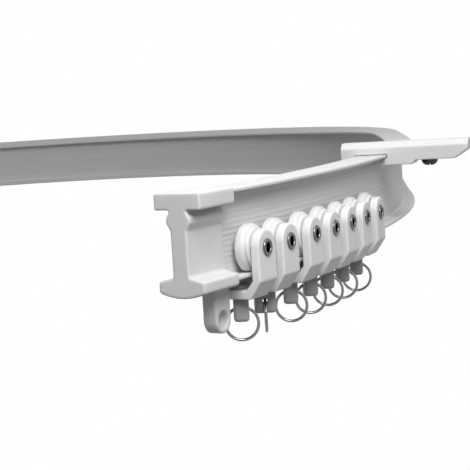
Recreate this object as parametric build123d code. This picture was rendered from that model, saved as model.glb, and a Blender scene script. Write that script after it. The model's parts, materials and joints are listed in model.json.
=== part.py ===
from build123d import *

import os
from math import ceil, cos, degrees, radians, sin, sqrt

# A bendable ceiling curtain track: an I-section plastic rail bent into a loop, a sleeve cap with a
# hanging eye on each end, one ceiling bracket that grips the top flange, and seven twin-wheel
# trolleys, each with a swivel and a wire ring for a curtain hook.
# Millimetres, +Z up. The origin is the centre of the bracket's ceiling face. X runs along the near
# end of the rail towards the loop, and Y points to the inside of the loop.

# Rail section, an upright I
rail_height = 28.5
flange_width = 12.9
flange_thickness = 1.3
web_thickness = 2.3
web_root_radius = 0.7
flange_edge_radius = 0.45

# Rail plan, from the near end: straight, wide bend, straight, tight bend, straight
near_straight = 20.0
wide_bend_radius = 628.0
wide_bend_length = 302.0
middle_straight = 93.0
tight_bend_radius = 219.0
tight_bend_length = 410.0
far_straight = 24.0
# The far leg leans its top to the inside of the loop, as the bent plastic does
far_lean = 13.0
lean_run = 240.0
guide_rise = 20.0
guide_step = 24.0

# End caps, measured in the rail's own section
cap_length = 20.3
cap_end_wall = 2.0
cap_width = 16.4
cap_top_cover = 0.8
cap_top_depth = 5.2
cap_web_width = 5.8
cap_bottom_width = 16.2
cap_bottom_edge = 3.4
cap_bottom_rise = 1.3
cap_edge_drop = 0.8
cap_belly = 2.5
cap_fit = 0.15
cap_edge_radius = 0.6
bead_width = 8.4
bead_height = 6.0
bead_below_top = 8.4
eye_outer_radius = 4.4
eye_bore = 5.4
eye_thickness = 5.0
eye_from_back = 1.4
eye_drop = 11.6

# Ceiling bracket, a bar across the rail with a jaw round the top flange
bracket_station = 175.4
bracket_width = 11.0
bracket_cover = 5.1
bracket_inner_reach = 12.0
bracket_outer_reach = 39.0
bracket_arm_depth = 7.7
bracket_jaw_depth = 9.3
bracket_jaw_reach = 18.0
bracket_top_chamfer = 2.2
bracket_tip_run = 5.6
bracket_tip_rise = 3.6
jaw_fit = 0.2
jaw_mouth = 4.6
screw_from_rail = 22.8
screw_shank_diameter = 3.6
screw_shank_fit = 0.15
screw_head_diameter = 6.4
screw_head_height = 2.4
screw_tip_depth = 0.6
screw_slot_width = 1.0
screw_slot_depth = 1.1
screw_slot_turn = 35.0

# Trolleys, by their distance from the rail's near end
trolley_stations = (31.7, 48.0, 67.8, 84.8, 102.0, 119.0, 137.4)
swivel_turns = (-60.0, 28.0, -66.0, -62.0, -71.0, -68.0, -74.0)
wheel_diameter = 15.2
wheel_width = 4.0
wheel_crown = 0.9
wheel_from_web = 1.85
hub_diameter = 7.0
hub_proud = 0.6
face_recess = 0.5
face_rim = 1.7
tread_groove_width = 0.7
tread_groove_depth = 0.4
tread_play = 0.05

# Carrier, a U-shaped yoke under the rail
carrier_width = 11.5
arm_thickness = 3.0
arm_hub_gap = 0.15
bar_thickness = 2.9
bar_below_rail = 4.1
corner_run = 3.9
corner_rise = 5.6
inner_corner_run = 2.5

# Hollow rivet axles
rivet_barrel_diameter = 4.2
rivet_bore = 3.2
rivet_rim_diameter = 5.6
rivet_rim_height = 0.7
rivet_arm_fit = 0.02
wheel_axle_fit = 0.05
rivet_wheel_gap = 0.1

# Swivels and rings
swivel_head_diameter = 6.5
swivel_head_height = 1.4
swivel_shank_diameter = 4.0
swivel_fit = 0.05
swivel_end_gap = 0.08
tab_thickness = 5.0
tab_width = 7.2
tab_height = 7.5
tab_corner_radius = 1.2
ring_hole_below_bar = 3.6
ring_outer_diameter = 11.5
ring_wire = 1.0
ring_play = 0.1

# Levels and widths worked out from the values above
rail_top = -bracket_cover
rail_middle = rail_top - rail_height / 2
rail_bottom = rail_top - rail_height
wheel_radius = wheel_diameter / 2
axle_level = rail_bottom + flange_thickness + tread_play + wheel_radius
wheel_inner_face = web_thickness / 2 + wheel_from_web
hub_outer_face = wheel_inner_face + wheel_width + hub_proud
arm_inner_face = hub_outer_face + arm_hub_gap
arm_outer_face = arm_inner_face + arm_thickness
bar_top = rail_bottom - bar_below_rail
bar_bottom = bar_top - bar_thickness
ring_hole_level = bar_bottom - ring_hole_below_bar
ring_radius = (ring_outer_diameter - ring_wire) / 2

segments = (
    (near_straight, 0.0),
    (wide_bend_length, 1 / wide_bend_radius),
    (middle_straight, 0.0),
    (tight_bend_length, 1 / tight_bend_radius),
    (far_straight, 0.0),
)
rail_length = sum(length for length, bend in segments)
lean_start = near_straight + wide_bend_length


def advance(x, y, heading, length, bend):
    """Point and heading after one straight or arc of the plan."""
    if bend == 0:
        return x + length * cos(heading), y + length * sin(heading), heading
    turned = heading + length * bend
    return x + (sin(turned) - sin(heading)) / bend, y - (cos(turned) - cos(heading)) / bend, turned


def plan_point(distance):
    """Point and heading of the rail's centre line, with the near end at zero."""
    x, y, heading = 0.0, 0.0, 0.0
    for length, bend in segments:
        step = min(distance, length)
        x, y, heading = advance(x, y, heading, step, bend)
        distance -= step
    return x, y, heading


bracket_middle = (bracket_outer_reach - bracket_inner_reach) / 2
bracket_x, bracket_y, bracket_heading = plan_point(bracket_station)
start_x = -bracket_x - bracket_middle * sin(bracket_heading)
start_y = -bracket_y + bracket_middle * cos(bracket_heading)


def station(distance):
    """Point and heading on the centre line, measured from the middle of the bracket."""
    x, y, heading = plan_point(distance)
    return x + start_x, y + start_y, heading


def lean_at(distance):
    """Lean of the section in degrees: none up to the wide bend's end, then an even S to its full value."""
    share = min(1.0, max(0.0, (distance - lean_start) / lean_run))
    return far_lean * share * share * (3 - 2 * share)


def section_plane(distance, level=rail_middle):
    """Plane across the rail: x to the inside of the loop, y up the web, z along the rail."""
    x, y, heading = station(distance)
    lean = radians(lean_at(distance))
    across = (-sin(heading) * cos(lean), cos(heading) * cos(lean), -sin(lean))
    return Plane(origin=(x, y, level), x_dir=across, z_dir=(cos(heading), sin(heading), 0))


def travel_plane(distance, level=0.0):
    """Upright frame on the rail: x along the rail, y to the inside of the loop, z up."""
    x, y, heading = station(distance)
    return Plane(origin=(x, y, level), x_dir=(cos(heading), sin(heading), 0), z_dir=(0, 0, 1))


def corner_points(sketch, across, tolerance=0.01):
    """Vertices of a sketch that stand at a given distance either side of its middle."""
    return sketch.vertices().filter_by(lambda point: abs(abs(point.X) - across) < tolerance)


def i_section(grow=0.0):
    """The rail's I with its rounded corners, grown all round by a clearance."""
    flange_middle = (rail_height - flange_thickness) / 2
    flange = Rectangle(flange_width + 2 * grow, flange_thickness + 2 * grow)
    web = Rectangle(web_thickness + 2 * grow, rail_height)
    outline = web + Pos(0, flange_middle) * flange + Pos(0, -flange_middle) * flange
    outline = fillet(corner_points(outline, web_thickness / 2 + grow), web_root_radius - grow)
    return fillet(corner_points(outline, flange_width / 2 + grow), flange_edge_radius)


def plan_edge(distance, length, bend, level):
    """One straight or arc of the centre line as an edge."""
    x, y, heading = station(distance)
    forward = (cos(heading), sin(heading), 0)
    if bend == 0:
        end_x, end_y, end_heading = station(distance + length)
        return Line((x, y, level), (end_x, end_y, level))
    return JernArc(start=(x, y, level), tangent=forward, radius=1 / bend, arc_size=degrees(length * bend))


def plan_path(first, last, level=rail_middle):
    """The centre line from one segment to another, as one wire."""
    edges = []
    distance = sum(length for length, bend in segments[:first])
    for length, bend in segments[first:last]:
        edges.append(plan_edge(distance, length, bend, level))
        distance += length
    return Wire([edge.edge() for edge in edges])


def lean_guide():
    """Line above the leaning part of the rail, which holds the section at its lean."""
    count = ceil((rail_length - lean_start) / guide_step)
    points = []
    for index in range(count + 1):
        distance = lean_start + (rail_length - lean_start) * index / count
        points.append(section_plane(distance).from_local_coords((0, guide_rise, 0)))
    first = section_plane(lean_start).z_dir
    last = section_plane(rail_length).z_dir
    return Spline(*points, tangents=[first, last])


def make_rail():
    """The I swept level to the end of the wide bend, and then with its lean."""
    level_part = sweep(section_plane(0) * i_section(), path=plan_path(0, 2))
    leaning_part = sweep(
        section_plane(lean_start) * i_section(), path=plan_path(2, 5), binormal=lean_guide().edge()
    )
    return level_part + leaning_part


def bead_outline():
    """Six-sided bead that stands proud of the cap's web near its top."""
    half_width = bead_width / 2
    half_height = bead_height / 2
    half_web = cap_web_width / 2
    return Polygon(
        (-half_web, half_height), (-half_width, half_height / 4), (-half_width, -half_height / 4),
        (-half_web, -half_height), (half_web, -half_height), (half_width, -half_height / 4),
        (half_width, half_height / 4), (half_web, half_height), align=None,
    )


def cap_foot():
    """Bottom flange of the cap: sloped top faces and a bellied underside."""
    half = cap_bottom_width / 2
    half_web = cap_web_width / 2
    low = -rail_height / 2
    edge_bottom = low - cap_edge_drop
    edge_top = edge_bottom + cap_bottom_edge
    web_top = edge_top + cap_bottom_rise
    outline = [
        Line((-half_web, web_top), (-half, edge_top)),
        Line((-half, edge_top), (-half, edge_bottom)),
        ThreePointArc((-half, edge_bottom), (0, low - cap_belly), (half, edge_bottom)),
        Line((half, edge_bottom), (half, edge_top)),
        Line((half, edge_top), (half_web, web_top)),
        Line((half_web, web_top), (-half_web, web_top)),
    ]
    return make_face(Wire([line.edge() for line in outline]))


def cap_section():
    """Outer shape of an end cap across the rail."""
    top = rail_height / 2 + cap_top_cover
    head = Pos(0, top - cap_top_depth / 2) * Rectangle(cap_width, cap_top_depth)
    web = Rectangle(cap_web_width, rail_height)
    bead = Pos(0, top - bead_below_top) * bead_outline()
    outline = head + web + bead + cap_foot()
    edges = corner_points(outline, cap_width / 2) + corner_points(outline, cap_bottom_width / 2)
    return fillet(edges, cap_edge_radius)


def cap_eye(along):
    """Hanging lug under the cap with its eye bored across the rail; along is the eye's place on the cap."""
    plane = Plane(origin=(0, -rail_height / 2 - eye_drop, along), x_dir=(0, 0, 1), z_dir=(1, 0, 0))
    neck = Pos(0, -eye_drop / 2) * Rectangle(2 * eye_outer_radius, eye_drop)
    lug = extrude(plane * (Circle(eye_outer_radius) + neck), eye_thickness / 2, both=True)
    hole = extrude(plane * Circle(eye_bore / 2), eye_thickness, both=True)
    return lug, hole


def make_cap(distance, outward):
    """Sleeve cap at a rail end; outward is -1 at the near end and 1 at the far end."""
    body = extrude(cap_section(), cap_length)
    pocket = Pos(0, 0, cap_end_wall) * extrude(i_section(cap_fit), cap_length)
    lug, hole = cap_eye(cap_length - eye_from_back)
    cap = body + lug - hole - pocket
    plane = section_plane(distance)
    if outward > 0:
        plane = Plane(origin=plane.origin, x_dir=-plane.x_dir, z_dir=-plane.z_dir)
    return plane * Pos(0, 0, -cap_end_wall - cap_fit) * cap


def bracket_outline():
    """Side shape of the bracket: x outwards from the rail's middle, y up from the ceiling face."""
    tip = bracket_outer_reach
    return Polygon(
        (-bracket_inner_reach, 0), (tip, 0), (tip, -bracket_arm_depth + bracket_tip_rise),
        (tip - bracket_tip_run, -bracket_arm_depth), (bracket_jaw_reach, -bracket_arm_depth),
        (bracket_jaw_reach - 1.5, -bracket_jaw_depth), (-bracket_inner_reach, -bracket_jaw_depth), align=None,
    )


def bracket_slot():
    """Room for the top flange and the web's mouth below it, in the bracket's side shape."""
    slot_width = flange_width + 2 * jaw_fit
    slot_height = flange_thickness + 2 * jaw_fit
    slot = Pos(0, rail_top - flange_thickness / 2) * Rectangle(slot_width, slot_height)
    mouth_height = bracket_jaw_depth
    mouth = Pos(0, rail_top - mouth_height / 2) * Rectangle(web_thickness + 2 * jaw_mouth / 2, mouth_height)
    return slot + mouth


def bracket_plane():
    """Plane of the bracket's side shape: x outwards, y up, z along the rail."""
    x, y, heading = station(bracket_station)
    outwards = (sin(heading), -cos(heading), 0)
    return Plane(origin=(x, y, 0), x_dir=outwards, z_dir=(-cos(heading), -sin(heading), 0))


def make_bracket():
    """The bar with its jaw, chamfered along its upper edges, and the screw's clearance hole."""
    bar = extrude(bracket_outline(), bracket_width / 2, both=True)
    long_edges = bar.edges().filter_by(Axis.X).group_by(Axis.Y)[-1]
    bar = chamfer(long_edges, bracket_top_chamfer)
    slot = extrude(bracket_slot(), bracket_width, both=True)
    hole_radius = screw_shank_diameter / 2 + screw_shank_fit
    across_bar = Plane(origin=(screw_from_rail, 0, 0), x_dir=(1, 0, 0), z_dir=(0, 1, 0))
    hole = extrude(across_bar * Circle(hole_radius), 2 * bracket_arm_depth, both=True)
    return bracket_plane() * (bar - slot - hole)


def make_screw():
    """Pan-head screw from below, its slot across the head."""
    head_top = -bracket_arm_depth
    head_bottom = head_top - screw_head_height
    head_radius = screw_head_diameter / 2
    shank_radius = screw_shank_diameter / 2
    outline = [
        Line((0, -screw_tip_depth), (shank_radius - 0.4, -screw_tip_depth)),
        Line((shank_radius - 0.4, -screw_tip_depth), (shank_radius, -screw_tip_depth - 0.8)),
        Line((shank_radius, -screw_tip_depth - 0.8), (shank_radius, head_top)),
        Line((shank_radius, head_top), (head_radius, head_top)),
        Line((head_radius, head_top), (head_radius, head_top - screw_head_height / 3)),
        ThreePointArc(
            (head_radius, head_top - screw_head_height / 3),
            (head_radius * 0.74, head_top - screw_head_height * 0.82),
            (0, head_bottom),
        ),
        Line((0, head_bottom), (0, -screw_tip_depth)),
    ]
    face = Plane.XZ * make_face(Wire([line.edge() for line in outline]))
    slot = Pos(0, 0, head_bottom) * Box(2 * head_radius, screw_slot_width, 2 * screw_slot_depth)
    place = bracket_plane().from_local_coords((screw_from_rail, 0, 0))
    return Pos(place) * Rot(0, 0, screw_slot_turn) * (revolve(face, Axis.Z) - slot)


def wheel_profile():
    """Half section of a wheel: x is the radius, y runs outwards from its inner face."""
    bore = rivet_barrel_diameter / 2 + wheel_axle_fit
    hub = hub_diameter / 2
    rim = wheel_radius - face_rim
    shoulder = wheel_radius - wheel_crown
    middle = wheel_width / 2
    groove = tread_groove_width / 2
    groove_bottom = wheel_radius - tread_groove_depth
    corner = wheel_crown * (1 - sin(radians(45)))
    outline = [
        Polyline((shoulder, 0), (rim, 0), (rim - face_recess, face_recess), (hub, face_recess), (hub, 0)),
        Polyline((hub, 0), (bore, 0), (bore, wheel_width + hub_proud), (hub, wheel_width + hub_proud)),
        Polyline((hub, wheel_width + hub_proud), (hub, wheel_width - face_recess)),
        Polyline((hub, wheel_width - face_recess), (rim - face_recess, wheel_width - face_recess)),
        Polyline((rim - face_recess, wheel_width - face_recess), (rim, wheel_width), (shoulder, wheel_width)),
        ThreePointArc(
            (shoulder, wheel_width),
            (wheel_radius - corner, wheel_width - corner),
            (wheel_radius, wheel_width - wheel_crown),
        ),
        Polyline(
            (wheel_radius, wheel_width - wheel_crown), (wheel_radius, middle + groove),
            (groove_bottom, middle), (wheel_radius, middle - groove), (wheel_radius, wheel_crown),
        ),
        ThreePointArc((wheel_radius, wheel_crown), (wheel_radius - corner, corner), (shoulder, 0)),
    ]
    edges = [edge for line in outline for edge in line.edges()]
    return make_face(Wire(edges))


def to_side(profile_solid, side):
    """Turn a solid made about X, outwards along +X, to the inside (1) or outside (-1) of the loop."""
    return Rot(0, 0, 90 * side) * profile_solid


def turned_piece(profile):
    """Revolve a half section whose x is the radius and y the place along the axle."""
    plane = Plane(origin=(0, 0, 0), x_dir=(0, 0, 1), z_dir=(0, 1, 0))
    return revolve(plane * profile, Axis.X)


def make_wheel(side):
    """One wheel on its side of the web, in the trolley's frame with the axle at its origin."""
    return to_side(Pos(wheel_inner_face, 0, 0) * turned_piece(wheel_profile()), side)


def rivet_profile():
    """Half section of the hollow rivet: barrel, rolled rim outside and flared rim inside."""
    bore = rivet_bore / 2
    barrel = rivet_barrel_diameter / 2
    rim = rivet_rim_diameter / 2
    inner_end = wheel_inner_face - rivet_wheel_gap
    outer_end = arm_outer_face
    outline = [
        Line((bore, inner_end - rivet_rim_height), (bore, outer_end + rivet_rim_height / 2)),
        ThreePointArc(
            (bore, outer_end + rivet_rim_height / 2),
            ((bore + rim) / 2, outer_end + rivet_rim_height),
            (rim, outer_end + rivet_rim_height / 2),
        ),
        Polyline((rim, outer_end + rivet_rim_height / 2), (rim, outer_end), (barrel, outer_end)),
        Polyline((barrel, outer_end), (barrel, inner_end), (rim, inner_end)),
        Line((rim, inner_end), (rim, inner_end - rivet_rim_height / 2)),
        ThreePointArc(
            (rim, inner_end - rivet_rim_height / 2),
            ((bore + rim) / 2, inner_end - rivet_rim_height * 0.85),
            (bore, inner_end - rivet_rim_height),
        ),
    ]
    edges = [edge for line in outline for edge in line.edges()]
    return make_face(Wire(edges))


def make_rivet(side):
    """One rivet in the trolley's frame."""
    return to_side(turned_piece(rivet_profile()), side)


def carrier_front():
    """U shape of the carrier seen along the rail: x across, y up from the axle."""
    top = carrier_width / 2
    floor = bar_bottom - axle_level
    inner_floor = bar_top - axle_level
    outer = arm_outer_face
    inner = arm_inner_face
    outer_points = [
        (-outer, top), (-outer, floor + corner_rise), (-outer + corner_run, floor),
        (outer - corner_run, floor), (outer, floor + corner_rise), (outer, top),
    ]
    inner_rise = inner_corner_run * corner_rise / corner_run * 0.8
    inner_points = [
        (inner, top), (inner, inner_floor + inner_rise), (inner - inner_corner_run, inner_floor),
        (-inner + inner_corner_run, inner_floor), (-inner, inner_floor + inner_rise), (-inner, top),
    ]
    return Polygon(*outer_points, *inner_points, align=None)


def make_carrier():
    """The yoke: round arm tops about the axle, and bores for the rivets and the swivel."""
    front = Plane(origin=(0, 0, 0), x_dir=(0, 1, 0), z_dir=(1, 0, 0))
    yoke = extrude(front * carrier_front(), carrier_width / 2, both=True)
    floor = bar_bottom - axle_level
    side = Plane(origin=(0, 0, 0), x_dir=(1, 0, 0), z_dir=(0, -1, 0))
    blade = Circle(carrier_width / 2) + Pos(0, floor / 2) * Rectangle(carrier_width, -floor)
    yoke = yoke & extrude(side * blade, 2 * arm_outer_face, both=True)
    rivet_hole = extrude(side * Circle(rivet_barrel_diameter / 2 + rivet_arm_fit), 2 * arm_outer_face, both=True)
    swivel_hole = Pos(0, 0, floor) * Cylinder(swivel_shank_diameter / 2 + swivel_fit, 4 * bar_thickness)
    return yoke - rivet_hole - swivel_hole


def ring_seat():
    """Radius of the hole that lets the bent wire turn freely in the tab."""
    inner_radius = ring_radius - ring_wire / 2
    sag = inner_radius - sqrt(inner_radius**2 - (tab_thickness / 2) ** 2)
    return (ring_wire + sag) / 2


def make_swivel():
    """Mushroom head above the bar, shank through it, and the bored tab below, in the trolley's frame."""
    top = bar_top - axle_level
    bottom = bar_bottom - axle_level
    head = Pos(0, 0, top + swivel_end_gap + swivel_head_height / 2) * Cylinder(
        swivel_head_diameter / 2, swivel_head_height
    )
    shank_length = bar_thickness + 2 * swivel_end_gap
    shank = Pos(0, 0, (top + bottom) / 2) * Cylinder(swivel_shank_diameter / 2, shank_length)
    tab_top = bottom - swivel_end_gap
    tab = Pos(0, 0, tab_top - tab_height / 2) * Box(tab_thickness, tab_width, tab_height)
    tab = fillet(tab.edges().filter_by(Axis.Z) + tab.faces().sort_by(Axis.Z)[0].edges(), tab_corner_radius)
    hole_level = ring_hole_level - axle_level
    hole = Pos(0, 0, hole_level) * Rot(0, 90, 0) * Cylinder(ring_seat() + ring_play, 2 * tab_thickness)
    return head + shank + tab - hole


def make_ring():
    """Wire ring that hangs in the tab's hole, in the trolley's frame."""
    centre_level = ring_hole_level - axle_level + ring_seat() - ring_outer_diameter / 2
    return Pos(0, 0, centre_level) * Rot(90, 0, 0) * Torus(ring_radius, ring_wire / 2)


def save(shape, name):
    """Write one piece as its own STEP file."""
    export_step(shape, os.path.join("parts", name + ".step"))


def main():
    os.makedirs("parts", exist_ok=True)
    save(make_rail(), "rail")
    save(make_cap(0, -1), "near_end_cap")
    save(make_cap(rail_length, 1), "far_end_cap")
    save(make_bracket(), "bracket")
    save(make_screw(), "bracket_screw")
    for number, (distance, turn) in enumerate(zip(trolley_stations, swivel_turns), start=1):
        place = travel_plane(distance, axle_level).location
        turned = place * Rot(0, 0, turn)
        save(place * make_carrier(), f"carrier_{number}")
        save(place * make_wheel(-1), f"front_wheel_{number}")
        save(place * make_wheel(1), f"back_wheel_{number}")
        save(place * make_rivet(-1), f"front_rivet_{number}")
        save(place * make_rivet(1), f"back_rivet_{number}")
        save(turned * make_swivel(), f"swivel_{number}")
        save(turned * make_ring(), f"ring_{number}")


main()
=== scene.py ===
import json
import math

import bmesh
import bpy
import numpy as np
from mathutils import Matrix, Vector


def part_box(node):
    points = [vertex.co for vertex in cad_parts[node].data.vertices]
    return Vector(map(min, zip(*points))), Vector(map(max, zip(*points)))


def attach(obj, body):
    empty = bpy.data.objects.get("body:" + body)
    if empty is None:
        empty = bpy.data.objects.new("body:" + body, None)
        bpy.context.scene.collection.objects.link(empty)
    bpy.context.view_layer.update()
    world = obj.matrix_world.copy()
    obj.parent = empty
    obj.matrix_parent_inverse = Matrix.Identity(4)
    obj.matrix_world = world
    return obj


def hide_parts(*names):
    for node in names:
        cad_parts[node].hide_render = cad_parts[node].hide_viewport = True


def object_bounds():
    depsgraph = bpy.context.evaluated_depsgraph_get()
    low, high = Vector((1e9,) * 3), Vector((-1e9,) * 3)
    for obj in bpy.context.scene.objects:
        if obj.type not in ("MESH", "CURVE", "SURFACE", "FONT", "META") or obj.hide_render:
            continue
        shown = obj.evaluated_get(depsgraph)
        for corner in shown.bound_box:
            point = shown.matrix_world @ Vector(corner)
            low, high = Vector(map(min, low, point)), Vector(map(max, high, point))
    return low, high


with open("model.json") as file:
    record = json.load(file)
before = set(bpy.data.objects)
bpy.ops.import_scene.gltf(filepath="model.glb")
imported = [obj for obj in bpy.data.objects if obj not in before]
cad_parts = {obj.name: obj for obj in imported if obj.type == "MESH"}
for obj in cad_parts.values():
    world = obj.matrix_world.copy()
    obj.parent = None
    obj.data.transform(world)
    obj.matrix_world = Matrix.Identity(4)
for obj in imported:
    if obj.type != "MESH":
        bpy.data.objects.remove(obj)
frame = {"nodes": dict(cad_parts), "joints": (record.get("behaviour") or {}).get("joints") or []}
cadLow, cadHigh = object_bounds()
joints = {joint["name"]: joint for joint in frame["joints"]}
print("frame loaded:", len(frame["nodes"]), "nodes")

mm = 0.001


# Meshes from numpy grids

def newObject(name, points, faces):
    mesh = bpy.data.meshes.new(name)
    mesh.from_pydata(points.reshape(-1, 3).tolist(), [], faces.tolist())
    mesh.validate()
    piece = bpy.data.objects.new(name, mesh)
    bpy.context.scene.collection.objects.link(piece)
    return piece


def gridFaces(rows, columns, closeRows, closeColumns):
    # corner numbers of every quad of a rows by columns grid, wrapped round where it closes
    r = np.arange(rows if closeRows else rows - 1)
    c = np.arange(columns if closeColumns else columns - 1)
    r, c = np.meshgrid(r, c, indexing="ij")
    nextRow = (r + 1) % rows
    nextColumn = (c + 1) % columns
    near = r * columns
    far = nextRow * columns
    return np.stack((near + c, near + nextColumn, far + nextColumn, far + c), axis=-1).reshape(-1, 4)


def shadeSmooth(piece, sharpDegrees=40):
    mesh = piece.data
    mesh.polygons.foreach_set("use_smooth", [True] * len(mesh.polygons))
    mesh.set_sharp_from_angle(angle=math.radians(sharpDegrees))


def tidyMesh(mesh, turnOut=True):
    # joins corners that coincide, and turns every face outwards
    work = bmesh.new()
    work.from_mesh(mesh)
    bmesh.ops.remove_doubles(work, verts=work.verts, dist=0.001 * mm)
    if turnOut:
        bmesh.ops.recalc_face_normals(work, faces=work.faces)
    work.to_mesh(mesh)
    work.free()


def roundCorners(corners, radii, steps=6):
    # every corner of a closed outline becomes an arc that touches both of its sides
    corners = np.asarray(corners, float)
    radii = np.asarray(radii, float)
    back = np.roll(corners, 1, axis=0) - corners
    ahead = np.roll(corners, -1, axis=0) - corners
    back /= np.linalg.norm(back, axis=1)[:, None]
    ahead /= np.linalg.norm(ahead, axis=1)[:, None]
    half = np.arccos(np.clip((back * ahead).sum(axis=1), -1, 1)) / 2
    reach = radii / np.tan(half)
    middle = back + ahead
    middle /= np.linalg.norm(middle, axis=1)[:, None]
    centre = corners + middle * (radii / np.sin(half))[:, None]
    first = corners + back * reach[:, None] - centre
    last = corners + ahead * reach[:, None] - centre
    share = np.linspace(0, 1, steps)[None, :, None]
    sweep = (math.pi - 2 * half)[:, None, None]
    safe = np.maximum(np.sin(sweep), 1e-9)
    arc = (np.sin((1 - share) * sweep) * first[:, None] + np.sin(share * sweep) * last[:, None]) / safe
    return (centre[:, None] + arc).reshape(-1, 2)


def turned(name, outline, centre, axis, steps=72):
    # the closed outline of (radius, distance along the axis) carried once round the axis
    outline = np.asarray(outline, float)
    axis = np.asarray(axis, float) / np.linalg.norm(axis)
    sideways = np.cross(axis, (0, 0, 1))
    if np.linalg.norm(sideways) < 0.1:
        sideways = np.cross(axis, (1, 0, 0))
    sideways /= np.linalg.norm(sideways)
    other = np.cross(axis, sideways)
    angle = np.linspace(0, 2 * math.pi, steps, endpoint=False)[:, None, None]
    around = np.cos(angle) * sideways + np.sin(angle) * other
    points = np.asarray(centre) + outline[None, :, :1] * around + outline[None, :, 1:] * axis
    piece = newObject(name, points, gridFaces(steps, len(outline), True, True))
    tidyMesh(piece.data)
    shadeSmooth(piece)
    return piece


# Shader maths as expressions

class Shade:
    # a socket of a material's tree; arithmetic on it adds Math nodes
    def __init__(self, tree, socket=None):
        self.tree = tree
        self.socket = socket

    def add(self, kind, settings=None, out=0, **inputs):
        node = self.tree.nodes.new(kind)
        for key, value in (settings or {}).items():
            setattr(node, key, value)
        for key, value in inputs.items():
            socket = node.inputs[int(key[1:])] if key[0] == "i" and key[1:].isdigit() else node.inputs[key]
            if isinstance(value, Shade):
                self.tree.links.new(value.socket, socket)
            else:
                socket.default_value = value
        return Shade(self.tree, node.outputs[out])

    def math(self, operation, a, b):
        return self.add("ShaderNodeMath", {"operation": operation}, i0=a, i1=b)

    def __add__(self, other):
        return self.math("ADD", self, other)

    def __radd__(self, other):
        return self.math("ADD", other, self)

    def __rsub__(self, other):
        return self.math("SUBTRACT", other, self)

    def __mul__(self, other):
        return self.math("MULTIPLY", self, other)

    def __rmul__(self, other):
        return self.math("MULTIPLY", other, self)

    def mixColour(self, first, second):
        # this value is the share of the second colour
        settings = {"data_type": "RGBA"}
        return self.add("ShaderNodeMix", settings, out=2, i0=self, i6=first, i7=second)

    def smooth(self, low, high):
        settings = {"interpolation_type": "SMOOTHSTEP"}
        return self.add("ShaderNodeMapRange", settings, i0=self, i1=low, i2=high, i3=0.0, i4=1.0)


def newMaterial(name):
    material = bpy.data.materials.new(name)
    material.use_nodes = True
    tree = material.node_tree
    shader = next(node for node in tree.nodes if node.type == "BSDF_PRINCIPLED")
    return material, Shade(tree), shader


def feed(shade, shader, **inputs):
    for key, value in inputs.items():
        socket = shader.inputs[key.replace("_", " ")]
        if isinstance(value, Shade):
            shade.tree.links.new(value.socket, socket)
        else:
            socket.default_value = value


def grey(level, warmth=0.0):
    return (level * (1 + warmth), level, level * (1 - warmth), 1.0)


def darkened(colour, share):
    return tuple(channel * (1 - share) for channel in colour[:3]) + (1.0,)


# what all the plastics share: light that enters them comes out within about a millimetre
plasticBody = {
    "Subsurface_Radius": (1.0, 0.95, 0.9),
    "Subsurface_Scale": 1.2 * mm,
    "IOR": 1.49,
}
plasticFinish = {
    "rail": {
        "colour": grey(0.74), "mottle": 0.05,
        "roughness": 0.42, "grain": 0.03 * mm, "soft": 0.10,
    },
    "fitting": {
        "colour": grey(0.70), "mottle": 0.04,
        "roughness": 0.40, "grain": 0.02 * mm, "soft": 0.15,
    },
    "trolley": {
        "colour": grey(0.78), "mottle": 0.03,
        "roughness": 0.36, "grain": 0.02 * mm, "soft": 0.20,
    },
    "wheel": {
        "colour": grey(0.74, 0.01), "mottle": 0.02,
        "roughness": 0.30, "grain": 0.01 * mm, "soft": 0.20,
    },
    # swivel stems: the trolleys' pale plastic darkened to a grey that paints the shade they hang in
    "stem": {
        "colour": grey(0.38), "mottle": 0.05,
        "roughness": 0.40, "grain": 0.02 * mm, "soft": 0.10,
    },
}


def plastic(name, look):
    # moulded plastic: a faint mottle in colour and gloss over the fine grain of the mould
    material, shade, shader = newMaterial(name)
    place = shade.add("ShaderNodeTexCoord", out="Object")
    broad = shade.add("ShaderNodeTexNoise", out="Fac", Vector=place, Scale=90.0, Detail=3.0)
    fine = shade.add("ShaderNodeTexNoise", out="Fac", Vector=place, Scale=2600.0, Detail=2.0)
    darker = darkened(look["colour"], look["mottle"])
    bump = shade.add("ShaderNodeBump", out="Normal", Strength=0.35, Distance=look["grain"], Height=fine)
    feed(
        shade, shader,
        Base_Color=broad.smooth(0.35, 0.7).mixColour(darker, look["colour"]),
        Roughness=look["roughness"] + 0.10 * broad,
        Normal=bump,
        Subsurface_Weight=look["soft"],
        **plasticBody,
    )
    return material


def extrudedPlastic(name, look):
    # rail plastic: streaks that run along the strip, drawn on its own length and girth
    material, shade, shader = newMaterial(name)
    uv = shade.add("ShaderNodeUVMap", {"uv_map": "strip"}, out="UV")
    stretch = shade.add("ShaderNodeMapping", i0=uv, Scale=(6.0, 900.0, 1.0))
    streakLook = {"Scale": 1.0, "Detail": 4.0, "Roughness": 0.6}
    streaks = shade.add("ShaderNodeTexNoise", out="Fac", Vector=stretch, **streakLook)
    place = shade.add("ShaderNodeTexCoord", out="Object")
    broad = shade.add("ShaderNodeTexNoise", out="Fac", Vector=place, Scale=40.0, Detail=3.0)
    darker = darkened(look["colour"], 3 * look["mottle"])
    paleShare = 0.6 * streaks.smooth(0.3, 0.7) + 0.4 * broad
    bump = shade.add("ShaderNodeBump", out="Normal", Strength=0.4, Distance=look["grain"], Height=streaks)
    feed(
        shade, shader,
        Base_Color=paleShare.mixColour(darker, look["colour"]),
        Roughness=look["roughness"] + 0.12 * streaks,
        Normal=bump,
        Subsurface_Weight=look["soft"],
        **plasticBody,
    )
    return material


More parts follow.
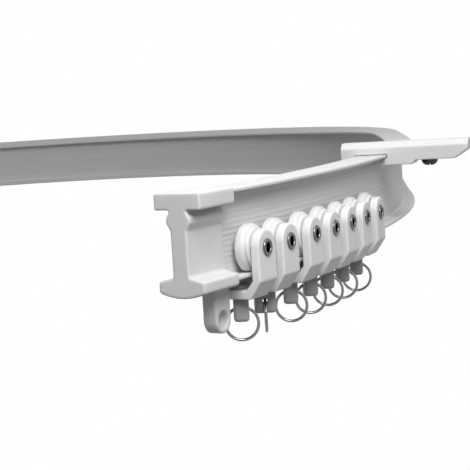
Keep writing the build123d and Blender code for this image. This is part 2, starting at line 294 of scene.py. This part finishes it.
metalFinish = {
    # rivet: steel darkened to paint the dark surroundings its rims mirror, a painted reflection
    "rivet": {"colour": grey(0.16), "roughness": 0.12, "wear": 0.08, "scale": 900.0},
    # ring: wire darkened to paint the dark surroundings it mirrors, a painted reflection; its glints come
    # from the lamps
    "ring": {"colour": grey(0.24), "roughness": 0.10, "wear": 0.08, "scale": 1400.0},
    "screw": {"colour": grey(0.06), "roughness": 0.32, "wear": 0.20, "scale": 700.0},
}


def metal(name, look):
    # plated or drawn steel: the polish varies a little, with fine lines from the tool
    material, shade, shader = newMaterial(name)
    place = shade.add("ShaderNodeTexCoord", out="Object")
    patches = shade.add("ShaderNodeTexNoise", out="Fac", Vector=place, Scale=look["scale"], Detail=3.0)
    darker = darkened(look["colour"], 0.25)
    bump = shade.add("ShaderNodeBump", out="Normal", Strength=0.2, Distance=0.01 * mm, Height=patches)
    feed(
        shade, shader,
        Base_Color=patches.smooth(0.3, 0.75).mixColour(darker, look["colour"]),
        Metallic=1.0,
        Roughness=look["roughness"] + look["wear"] * patches,
        Normal=bump,
    )
    return material


materials = {
    "rail": extrudedPlastic("railPlastic", plasticFinish["rail"]),
    "fitting": plastic("fittingPlastic", plasticFinish["fitting"]),
    "trolley": plastic("trolleyPlastic", plasticFinish["trolley"]),
    "wheel": plastic("wheelPlastic", plasticFinish["wheel"]),
    "stem": plastic("stemPlasticPaintedShade", plasticFinish["stem"]),
    "rivet": metal("rivetSteelPaintedReflection", metalFinish["rivet"]),
    "ring": metal("ringSteelPaintedReflection", metalFinish["ring"]),
    "screw": metal("screwSteel", metalFinish["screw"]),
}


def dress(piece, material, body):
    piece.data.materials.clear()
    piece.data.materials.append(materials[material])
    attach(piece, body)


# Rail: the I section with its fine ridges, carried along the bent centre line

rail = {
    "height": 28.5 * mm,
    "flangeWidth": 12.9 * mm,
    "flangeThickness": 1.3 * mm,
    "webThickness": 2.3 * mm,
    "rootRadius": 0.7 * mm,
    "edgeRadius": 0.45 * mm,
    "stretches": ((20.0, 0.0), (302.0, 628.0), (93.0, 0.0), (410.0, 219.0), (24.0, 0.0)),
    "leanDegrees": 13.0,
    "leanRun": 240.0 * mm,
    "ridgePitch": 1.7 * mm,
    "ridgeDepth": 0.09 * mm,
    "ridgePoints": 8,
    "stationStep": 3.0 * mm,
}
railLow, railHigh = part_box("rail")
capLow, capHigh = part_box("near_end_cap")
railStart = np.array((railLow.x, (capLow.y + capHigh.y) / 2))
railLength = sum(length for length, radius in rail["stretches"]) * mm
railCorners = (corner.co for corner in frame["nodes"]["rail"].data.vertices)
flangeTop = max(corner.z for corner in railCorners if corner.x < railLow.x + 50 * mm)
railMiddle = flangeTop - rail["height"] / 2


def centreLine(distance):
    # point and heading after a length of rail: each straight or arc adds what the length takes of it
    distance = np.asarray(distance, float)
    x = np.full_like(distance, railStart[0])
    y = np.full_like(distance, railStart[1])
    heading = np.zeros_like(distance)
    before = 0.0
    for length, radius in rail["stretches"]:
        step = np.clip(distance, 0, length * mm)
        distance = distance - length * mm
        if radius == 0:
            x += step * math.cos(before)
            y += step * math.sin(before)
            continue
        turn = step / (radius * mm)
        x += (np.sin(before + turn) - math.sin(before)) * radius * mm
        y -= (np.cos(before + turn) - math.cos(before)) * radius * mm
        heading += turn
        before += length / radius
    return x, y, heading


def railSections(distance):
    # middle, inward, upward and forward directions of the section, leaning as an even S past the bend
    x, y, heading = centreLine(distance)
    leanStart = (rail["stretches"][0][0] + rail["stretches"][1][0]) * mm
    share = np.clip((distance - leanStart) / rail["leanRun"], 0, 1)
    lean = math.radians(rail["leanDegrees"]) * share * share * (3 - 2 * share)
    middle = np.stack((x, y, np.full_like(x, railMiddle)), axis=-1)
    forward = np.stack((np.cos(heading), np.sin(heading), np.zeros_like(x)), axis=-1)
    level = np.cos(lean)
    inward = np.stack((-np.sin(heading) * level, np.cos(heading) * level, -np.sin(lean)), axis=-1)
    return middle, inward, np.cross(forward, inward), forward


def railOutline():
    # closed outline of (inwards, upwards): rounded I, with raised ridges down both sides of the web
    half = rail["height"] / 2
    wide = rail["flangeWidth"] / 2
    web = rail["webThickness"] / 2
    under = half - rail["flangeThickness"]
    edge = rail["edgeRadius"]
    root = rail["rootRadius"]
    quarter = np.linspace(0, math.pi / 2, 5)
    top = np.stack((wide - edge + edge * np.sin(quarter), half - edge + edge * np.cos(quarter)), axis=-1)
    low = np.stack((wide - edge + edge * np.cos(quarter), under + edge - edge * np.sin(quarter)), axis=-1)
    fillet = np.stack((web + root - root * np.sin(quarter), under - root + root * np.cos(quarter)), axis=-1)
    ridgeTop = under - root - 0.2 * mm
    count = int(2 * ridgeTop / rail["ridgePitch"]) * rail["ridgePoints"]
    level = np.linspace(ridgeTop, -ridgeTop, count)
    wave = 0.5 + 0.5 * np.cos(2 * math.pi * level / rail["ridgePitch"])
    ridges = np.stack((web + rail["ridgeDepth"] * wave**3, level), axis=-1)
    flip = np.array((1, -1))
    corner = np.concatenate((top, low, fillet))
    side = np.concatenate((corner, ridges, corner[::-1] * flip))
    return np.concatenate((side, side[::-1] * np.array((-1, 1))))


def makeRail():
    outline = railOutline()
    distance = np.linspace(0, railLength, int(railLength / rail["stationStep"]) + 1)
    middle, inward, upward, forward = railSections(distance)
    points = (
        middle[:, None]
        + outline[None, :, :1] * inward[:, None]
        + outline[None, :, 1:] * upward[:, None]
    )
    rows, columns = points.shape[:2]
    faces = gridFaces(rows, columns, False, True).tolist()
    faces.append(list(range(columns)))
    faces.append(list(range((rows - 1) * columns, rows * columns))[::-1])
    mesh = bpy.data.meshes.new("rail_strip")
    mesh.from_pydata(points.reshape(-1, 3).tolist(), [], faces)
    piece = bpy.data.objects.new("rail_strip", mesh)
    bpy.context.scene.collection.objects.link(piece)
    girth = np.concatenate(((0,), np.cumsum(np.linalg.norm(np.diff(outline, axis=0), axis=1))))
    corner = np.empty(len(mesh.loops), np.int32)
    mesh.loops.foreach_get("vertex_index", corner)
    uv = np.stack((distance[corner // columns], girth[corner % columns]), axis=-1)
    mesh.uv_layers.new(name="strip").data.foreach_set("uv", uv.ravel())
    tidyMesh(piece.data)
    shadeSmooth(piece, 50)
    dress(piece, "rail", "root")
    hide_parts("rail")


makeRail()
print("rail made")


# Fittings: the CAD piece itself with its edges rounded as a mould leaves them

skinLook = {
    "easeFactor": 0.5,
    "facesKept": 0.28,
    "sharpDegrees": 60,
}


def moulded(node, name, grain, rounds):
    # a skin of even squares laid over the piece, evened out until its edges are round, then thinned
    mesh = frame["nodes"][node].data.copy()
    source = bpy.data.objects.new(name, mesh)
    bpy.context.scene.collection.objects.link(source)
    tidyMesh(mesh, turnOut=False)
    skin = source.modifiers.new("skin", "REMESH")
    skin.mode = "VOXEL"
    skin.voxel_size = grain
    ease = source.modifiers.new("ease", "SMOOTH")
    ease.factor = skinLook["easeFactor"]
    ease.iterations = rounds
    thin = source.modifiers.new("thin", "DECIMATE")
    thin.ratio = skinLook["facesKept"]
    ready = source.evaluated_get(bpy.context.evaluated_depsgraph_get())
    source.data = bpy.data.meshes.new_from_object(ready)
    source.modifiers.clear()
    source.data.name = name
    shadeSmooth(source, skinLook["sharpDegrees"])
    return source


fittings = {
    "near_end_cap": {"name": "near_cap_moulding", "grain": 0.22 * mm, "rounds": 26},
    "far_end_cap": {"name": "far_cap_moulding", "grain": 0.22 * mm, "rounds": 26},
    "bracket": {"name": "bracket_moulding", "grain": 0.22 * mm, "rounds": 16},
}
for node, look in fittings.items():
    moulding = moulded(node, look["name"], look["grain"], look["rounds"])
    dress(moulding, "fitting", "root")
    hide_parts(node)
print("caps and bracket made")


# Trolleys

trolley = {
    "count": 7,
    "yokeGrain": 0.25 * mm,
    "yokeRounds": 18,
    "stemGrain": 0.2 * mm,
    "stemRounds": 6,
}

wheel = {
    "radius": 7.6 * mm,
    "treadWidth": 3.0 * mm,
    "width": 4.4 * mm,
    "stepRadius": 6.6 * mm,
    "bore": 2.15 * mm,
    "webSideFromMiddle": 2.0 * mm,
    "hubRadius": 3.4 * mm,
    "hubProud": 0.2 * mm,
    "recess": 0.5 * mm,
    "rim": 1.5 * mm,
}


def wheelOutline():
    # (radius, distance from the wheel's web side): rounded tread, groove, narrower second step, hub
    w = wheel
    groove = w["treadWidth"] + 0.25 * mm
    corners = (
        (w["bore"], 0), (w["hubRadius"], 0), (w["hubRadius"], w["recess"]),
        (w["radius"] - w["rim"], w["recess"]), (w["radius"] - w["rim"], 0), (w["radius"], 0),
        (w["radius"], w["treadWidth"]), (w["stepRadius"] - 0.3 * mm, groove),
        (w["stepRadius"], groove + 0.3 * mm), (w["stepRadius"], w["width"]),
        (w["hubRadius"], w["width"]), (w["hubRadius"], w["width"] + w["hubProud"]),
        (w["bore"], w["width"] + w["hubProud"]),
    )
    radii = np.array((0.1, 0.15, 0.2, 0.2, 0.2, 0.7, 1.3, 0.15, 0.2, 0.6, 0.05, 0.08, 0.1)) * mm
    return roundCorners(corners, radii)


rivet = {
    "bore": 1.6 * mm,
    "barrel": 2.1 * mm,
    "rim": 2.8 * mm,
    "rimHeight": 0.7 * mm,
    "innerEnd": -2.1 * mm,
    "outerEnd": 5.75 * mm,
}


def rivetOutline():
    # (radius, distance from the wheel's middle): a thin tube whose ends are rolled over into domed rims
    r = rivet
    innerEnd = r["innerEnd"]
    outerEnd = r["outerEnd"]
    corners = (
        (r["bore"], innerEnd - r["rimHeight"]), (r["bore"], outerEnd + r["rimHeight"]),
        (r["rim"], outerEnd + r["rimHeight"]), (r["rim"], outerEnd), (r["barrel"], outerEnd),
        (r["barrel"], innerEnd), (r["rim"], innerEnd), (r["rim"], innerEnd - r["rimHeight"]),
    )
    radii = np.array((0.5, 0.6, 0.59, 0.08, 0.03, 0.03, 0.08, 0.59)) * mm
    return roundCorners(corners, radii, 8)


ring = {
    "outer": 5.75 * mm,
    "wire": 0.5 * mm,
    "stepsRound": 96,
    "wireSteps": 20,
}


def makeRing(number):
    # a wire tube carried round a circle
    swing = joints[f"ring_{number}_swing"]
    low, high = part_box(f"ring_{number}")
    across = np.array(swing["axis"])
    middle = np.array(((low.x + high.x) / 2, (low.y + high.y) / 2, (low.z + high.z) / 2))
    radius = ring["outer"] - ring["wire"]
    rows = ring["stepsRound"]
    columns = ring["wireSteps"]
    wire = ring["wire"]
    angle = np.linspace(0, 2 * math.pi, rows, endpoint=False)[:, None, None]
    turn = np.linspace(0, 2 * math.pi, columns, endpoint=False)[None, :, None]
    outward = np.sin(angle) * across + np.cos(angle) * np.array((0, 0, 1.0))
    sideways = np.cross(across, (0, 0, 1))
    points = middle + outward * (radius + wire * np.cos(turn)) + sideways * wire * np.sin(turn)
    piece = newObject(f"ring_{number}_wire", points, gridFaces(rows, columns, True, True))
    tidyMesh(piece.data)
    shadeSmooth(piece)
    dress(piece, "ring", f"ring_{number}")
    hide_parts(f"ring_{number}")


def wheelAxle(number, side):
    # the wheel's middle and the direction away from the web
    spin = joints[f"{side}_wheel_{number}_spin"]
    return np.array(spin["pos_m"]), np.array(spin["axis"]) * (-1 if side == "front" else 1)


def makeWheel(number, side):
    body = f"{side}_wheel_{number}"
    middle, outward = wheelAxle(number, side)
    start = middle - outward * wheel["webSideFromMiddle"]
    piece = turned(f"{body}_disc", wheelOutline(), start, outward)
    dress(piece, "wheel", body)
    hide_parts(body)


def makeRivet(number, side):
    middle, outward = wheelAxle(number, side)
    piece = turned(f"{side}_rivet_{number}_eyelet", rivetOutline(), middle, outward, 48)
    dress(piece, "rivet", f"trolley_{number}")
    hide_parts(f"{side}_rivet_{number}")


for number in range(1, trolley["count"] + 1):
    carrier = f"carrier_{number}"
    swivel = f"swivel_{number}"
    yoke = moulded(carrier, f"{carrier}_yoke", trolley["yokeGrain"], trolley["yokeRounds"])
    dress(yoke, "trolley", f"trolley_{number}")
    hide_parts(carrier)
    stem = moulded(swivel, f"{swivel}_stem", trolley["stemGrain"], trolley["stemRounds"])
    dress(stem, "stem", swivel)
    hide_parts(swivel)
    makeRing(number)
    for side in ("front", "back"):
        makeWheel(number, side)
        makeRivet(number, side)
print("trolleys made")


# Screw

screwNode = frame["nodes"]["bracket_screw"]
screwNode.data.materials.clear()
screwNode.data.materials.append(materials["screw"])


# Camera at the photograph's place, measured from the near cap's face

camera = {
    "fromCapFace": Vector((-0.37381, -0.24377, 0.0266)),
    "yawDegrees": 30.948,
    "pitchDegrees": -5.691,
    "rollDegrees": -3.639,
    "lens": 115.84,
    "sensor": 36.0,
}


def makeCamera():
    yaw = math.radians(camera["yawDegrees"])
    pitch = math.radians(camera["pitchDegrees"])
    roll = math.radians(camera["rollDegrees"])
    forward = Vector((math.cos(yaw) * math.cos(pitch), math.sin(yaw) * math.cos(pitch), math.sin(pitch)))
    right = Vector((math.sin(yaw), -math.cos(yaw), 0))
    up = right.cross(forward)
    turnedRight = right * math.cos(roll) + up * math.sin(roll)
    turnedUp = up * math.cos(roll) - right * math.sin(roll)
    data = bpy.data.cameras.new("camera")
    data.lens = camera["lens"]
    data.sensor_width = camera["sensor"]
    data.clip_start = 0.01
    holder = bpy.data.objects.new("camera", data)
    bpy.context.scene.collection.objects.link(holder)
    rotation = Matrix((turnedRight, turnedUp, -forward)).transposed()
    face = Vector((capLow.x, (capLow.y + capHigh.y) / 2, 0))
    holder.matrix_world = Matrix.Translation(face + camera["fromCapFace"]) @ rotation.to_4x4()
    bpy.context.scene.camera = holder


makeCamera()


# Floor, world and lamps

stage = {
    "floorDrop": 0.45,
    "floorSize": 12.0,
    "floorLevel": 0.35,
    "worldLevel": 0.20,
    "shadowShare": 0.25,
    "shadowNear": 0.4,
    "shadowFar": 1.6,
}


def seenRays(shade):
    # 1 for the rays of the eye and for those that come to it by gloss or through glass
    total = shade.add("ShaderNodeLightPath", out="Is Camera Ray")
    for kind in ("Is Glossy Ray", "Is Transmission Ray"):
        total = total.math("MAXIMUM", total, shade.add("ShaderNodeLightPath", out=kind))
    return total


def makeFloor():
    bpy.ops.mesh.primitive_plane_add(size=stage["floorSize"], location=(0, 0, cadLow.z - stage["floorDrop"]))
    floor = bpy.context.object
    floor.name = "floor"
    material, shade, shader = newMaterial("floorPaper")
    seen = seenRays(shade)
    place = shade.add("ShaderNodeTexCoord", out="Object")
    away = shade.add("ShaderNodeVectorMath", {"operation": "LENGTH"}, out="Value", i0=place)
    near = 1.0 - away.smooth(stage["shadowNear"], stage["shadowFar"])
    feed(shade, shader, Base_Color=seen.mixColour(grey(stage["floorLevel"]), grey(1.0)), Roughness=0.9)
    white = shade.add("ShaderNodeEmission", Color=grey(1.0), Strength=1.0)
    paper = Shade(shade.tree, shader.outputs[0])
    share = seen * (1.0 - stage["shadowShare"] * near)
    mixed = shade.add("ShaderNodeMixShader", i0=share, i1=paper, i2=white)
    output = next(node for node in shade.tree.nodes if node.type == "OUTPUT_MATERIAL")
    shade.tree.links.new(mixed.socket, output.inputs[0])
    floor.data.materials.append(material)


def makeWorld():
    world = bpy.data.worlds.new("studio")
    bpy.context.scene.world = world
    world.use_nodes = True
    tree = world.node_tree
    tree.nodes.clear()
    shade = Shade(tree)
    seen = seenRays(shade)
    plain = shade.add("ShaderNodeBackground", Color=grey(1.0), Strength=1.0)
    soft = shade.add("ShaderNodeBackground", Color=grey(1.0), Strength=stage["worldLevel"])
    mixed = shade.add("ShaderNodeMixShader", i0=seen, i1=soft, i2=plain)
    output = tree.nodes.new("ShaderNodeOutputWorld")
    tree.links.new(mixed.socket, output.inputs[0])


lamps = {
    "key": {
        "place": Vector((-0.38, -0.25, 0.30)),
        "aim": Vector((-0.12, 0.0, -0.03)),
        "size": 0.28,
        "watts": 2.5,
    },
    "top": {
        "place": Vector((-0.07, -0.02, 0.32)),
        "aim": Vector((-0.07, 0.0, 0.0)),
        "size": 0.24,
        "watts": 0.5,
    },
}


def makeLamps():
    for name, lamp in lamps.items():
        data = bpy.data.lights.new(name, "AREA")
        data.size = lamp["size"]
        data.energy = lamp["watts"]
        holder = bpy.data.objects.new(name, data)
        holder.location = lamp["place"]
        holder.rotation_euler = (lamp["aim"] - lamp["place"]).to_track_quat("-Z", "Y").to_euler()
        bpy.context.scene.collection.objects.link(holder)


makeFloor()
makeWorld()
makeLamps()
bpy.context.scene.view_settings.view_transform = "Standard"
print("camera, floor and lamps made")
